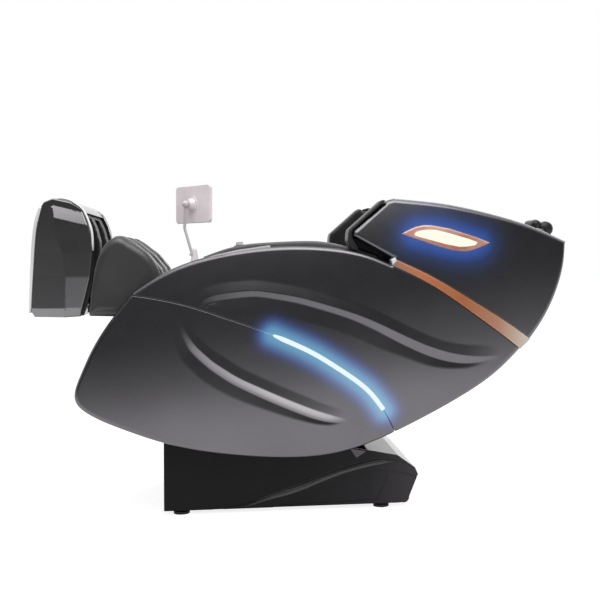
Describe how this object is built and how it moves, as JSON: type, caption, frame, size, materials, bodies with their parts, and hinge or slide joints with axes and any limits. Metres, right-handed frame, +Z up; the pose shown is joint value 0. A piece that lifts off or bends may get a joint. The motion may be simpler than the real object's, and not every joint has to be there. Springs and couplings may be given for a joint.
{
  "type": "massage chair",
  "caption": "Reclining zero-gravity massage chair with moulded side shells, lit hood, padded leg rest, extending foot rest, tablet holder and a roller carriage in its back.",
  "frame": {"origin": "centre of the bounding box seen from above, on the floor", "axes": "+X towards the head end, -X towards the feet, +Z up, -Y is the sitter's left hand side, which the picture shows"},
  "size_m": [1.7106, 0.741, 1.055],
  "materials": {
    "shell": "satin charcoal",
    "base_cover": "glossy black",
    "frame": "powder coated black",
    "drive": "matte black",
    "rod": "hard chromed",
    "shaft": "turned",
    "rubber": "matte",
    "wheel": "matte",
    "supply": "matte",
    "light": "lit diffuser",
    "copper": "copper coloured lacquer",
    "lens": "lit diffuser",
    "leather": "soft grained, near black",
    "arm_leather": "soft grained, dark grey",
    "calf_leather": "soft, matte dark grey",
    "foot_shell": "glossy black",
    "silver": "satin silver",
    "metal_arm": "satin",
    "tablet": "satin, faintly pink silver",
    "dial": "pearl white",
    "pod": "matte",
    "carriage": "matte",
    "roller": "smooth"
  },
  "bodies": {
    "base": {"base_frame": "frame", "base_cover_left": "base_cover", "base_cover_right": "base_cover", "base_front_cover": "base_cover", "base_rear_cover": "base_cover", "base_tabs": "shaft", "rubber_feet": "rubber", "power_supply": "supply", "pivot_shaft": "shaft", "recline_tube": "drive"},
    "wheel_left": {"transport_wheel_left": "wheel"},
    "wheel_right": {"transport_wheel_right": "wheel"},
    "recline_rod": {"recline_rod": "rod"},
    "chair": {"body_frame": "frame", "track_rails": "shaft", "leg_tube": "drive", "front_shell_left": "shell", "side_shell_left": "shell", "hood_shell_left": "shell", "light_strip_left": "light", "copper_trim_left": "copper", "lamp_bezel_left": "copper", "lamp_lens_left": "lens", "arm_liner_left": "leather", "hood_liner_left": "leather", "arm_pad_left": "arm_leather", "front_shell_right": "shell", "side_shell_right": "shell", "hood_shell_right": "shell", "light_strip_right": "light", "copper_trim_right": "copper", "lamp_bezel_right": "copper", "lamp_lens_right": "lens", "arm_liner_right": "leather", "hood_liner_right": "leather", "arm_pad_right": "arm_leather", "rear_cover": "foot_shell", "seat_cushion": "leather", "back_cushion": "leather", "head_pillow": "leather", "holder_base": "metal_arm", "control_pod": "pod"},
    "leg_rod": {"leg_rod": "rod"},
    "leg": {"calf_frame": "frame", "calf_shell": "pod", "calf_pad": "calf_leather"},
    "foot": {"foot_frame": "rod", "foot_shell": "foot_shell", "foot_liner": "leather", "foot_trim": "silver", "foot_bumpers": "rubber"},
    "foot_roller": {"foot_roller": "roller"},
    "carriage": {"massage_carriage": "carriage"},
    "kneader_left": {"massage_arm_left": "carriage"},
    "kneader_right": {"massage_arm_right": "carriage"},
    "roller_left": {"massage_roller_left": "roller"},
    "roller_right": {"massage_roller_right": "roller"},
    "holder": {"holder_arm": "metal_arm"},
    "tablet": {"tablet": "tablet"},
    "dial": {"control_dial": "dial"}
  },
  "joints": [
    {"name": "recline", "type": "hinge", "parent": "base", "child": "chair", "pos_m": [-0.046, 0, 0.37], "axis": [0, -1, 0], "range_deg": [0, 26]},
    {"name": "recline_drive", "type": "slide", "parent": "base", "child": "recline_rod", "axis": [1, 0, 0], "range_m": [0, 0.04969]},
    {"name": "leg_lift", "type": "hinge", "parent": "chair", "child": "leg", "pos_m": [-0.42, 0, 0.64], "axis": [0, -1, 0], "range_deg": [0, 54]},
    {"name": "leg_drive", "type": "slide", "parent": "chair", "child": "leg_rod", "axis": [0.8746, 0, -0.4848], "range_m": [0, 0.05468]},
    {"name": "foot_extend", "type": "slide", "parent": "leg", "child": "foot", "axis": [-1, 0, 0], "range_m": [0, 0.1]},
    {"name": "foot_roll", "type": "hinge", "parent": "foot", "child": "foot_roller", "pos_m": [-0.788, 0, 0.82], "axis": [0, 1, 0], "continuous": true},
    {"name": "wheel_left_spin", "type": "hinge", "parent": "base", "child": "wheel_left", "pos_m": [0.328, -0.225, 0.029], "axis": [0, 1, 0], "continuous": true},
    {"name": "wheel_right_spin", "type": "hinge", "parent": "base", "child": "wheel_right", "pos_m": [0.328, 0.225, 0.029], "axis": [0, 1, 0], "continuous": true},
    {"name": "carriage_travel", "type": "slide", "parent": "chair", "child": "carriage", "axis": [0.8988, 0, 0.4384], "range_m": [-0.16, 0.31]},
    {"name": "knead_left", "type": "hinge", "parent": "carriage", "child": "kneader_left", "pos_m": [0.33781, -0.058, 0.56018], "axis": [0, 1, 0], "range_deg": [-8, 8]},
    {"name": "roller_left_spin", "type": "hinge", "parent": "kneader_left", "child": "roller_left", "pos_m": [0.40522, -0.088, 0.59305], "axis": [0, 1, 0], "continuous": true},
    {"name": "knead_right", "type": "hinge", "parent": "carriage", "child": "kneader_right", "pos_m": [0.33781, 0.058, 0.56018], "axis": [0, 1, 0], "range_deg": [-8, 8]},
    {"name": "roller_right_spin", "type": "hinge", "parent": "kneader_right", "child": "roller_right", "pos_m": [0.40522, 0.088, 0.59305], "axis": [0, 1, 0], "continuous": true},
    {"name": "holder_swivel", "type": "hinge", "parent": "chair", "child": "holder", "pos_m": [-0.354, -0.281, 0.81025], "axis": [-0.272, 0, 0.9623], "range_deg": [-73, 87]},
    {"name": "tablet_tilt", "type": "hinge", "parent": "holder", "child": "tablet", "pos_m": [-0.38127, -0.29863, 0.996], "axis": [-0.5878, 0.809, 0], "range_deg": [-30, 8]},
    {"name": "dial_turn", "type": "hinge", "parent": "chair", "child": "dial", "pos_m": [-0.20701, 0.305, 0.87153], "axis": [-0.1323, 0, 0.9912], "continuous": true}
  ],
  "couplings": [
    {"joint": "recline_drive", "follows": "recline", "m_per_rad": 0.10906},
    {"joint": "leg_drive", "follows": "leg_lift", "m_per_rad": 0.057804},
    {"joint": "knead_right", "follows": "knead_left", "ratio": -1}
  ]
}
